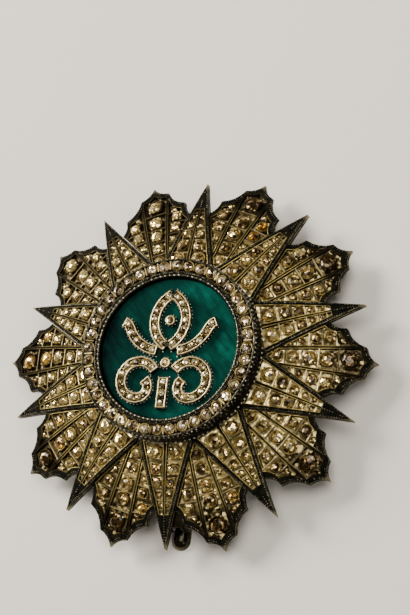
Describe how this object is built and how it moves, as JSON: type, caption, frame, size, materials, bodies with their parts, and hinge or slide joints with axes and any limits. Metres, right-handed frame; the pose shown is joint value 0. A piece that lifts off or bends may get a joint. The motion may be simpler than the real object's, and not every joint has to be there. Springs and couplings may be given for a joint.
{
  "type": "breast star",
  "caption": "Round breast star with pointed and scalloped stone-set rays on a dome, round a raised green enamel medallion with a ring of stones, and a pin behind.",
  "frame": {"origin": "centre of the star, on the surface that it lies on", "axes": "+Z out of the star's face, +Y from the centre to the first spike, the top one as worn"},
  "size_m": [0.0896, 0.086, 0.0184],
  "materials": {
    "back_silver": "dull oxidised silver",
    "pin_metal": "satin",
    "case_silver": "black oxidised silver, rubbed bright on its beaded rims",
    "spike_silver": "black oxidised silver, with pale gold channel floors",
    "petal_silver": "black oxidised silver, with pale gold channel floors",
    "ornament_silver": "silver, oxidised in the hollows and bright on the edges",
    "enamel": "translucent green enamel over a lined ground",
    "ring_stone": "clear cut stone, foiled behind",
    "ornament_stone": "clear cut stone, foiled behind",
    "ray_stone": "champagne cut stone, foiled behind"
  },
  "bodies": {
    "root": {"back_plate": "back_silver", "brooch_pin": "pin_metal", "medallion_case": "case_silver", "enamel_disc": "enamel", "ornament": "ornament_silver", "ring_stones": "ring_stone", "ornament_stones": "ornament_stone", "spike_stones": "ray_stone", "petal_stones": "ray_stone", "petal_side_stones": "ray_stone", "spike_1": "spike_silver", "spike_2": "spike_silver", "spike_3": "spike_silver", "spike_4": "spike_silver", "spike_5": "spike_silver", "spike_6": "spike_silver", "spike_7": "spike_silver", "spike_8": "spike_silver", "spike_9": "spike_silver", "spike_10": "spike_silver", "petal_1": "petal_silver", "petal_2": "petal_silver", "petal_3": "petal_silver", "petal_4": "petal_silver", "petal_5": "petal_silver", "petal_6": "petal_silver", "petal_7": "petal_silver", "petal_8": "petal_silver", "petal_9": "petal_silver", "petal_10": "petal_silver"}
  },
  "joints": []
}
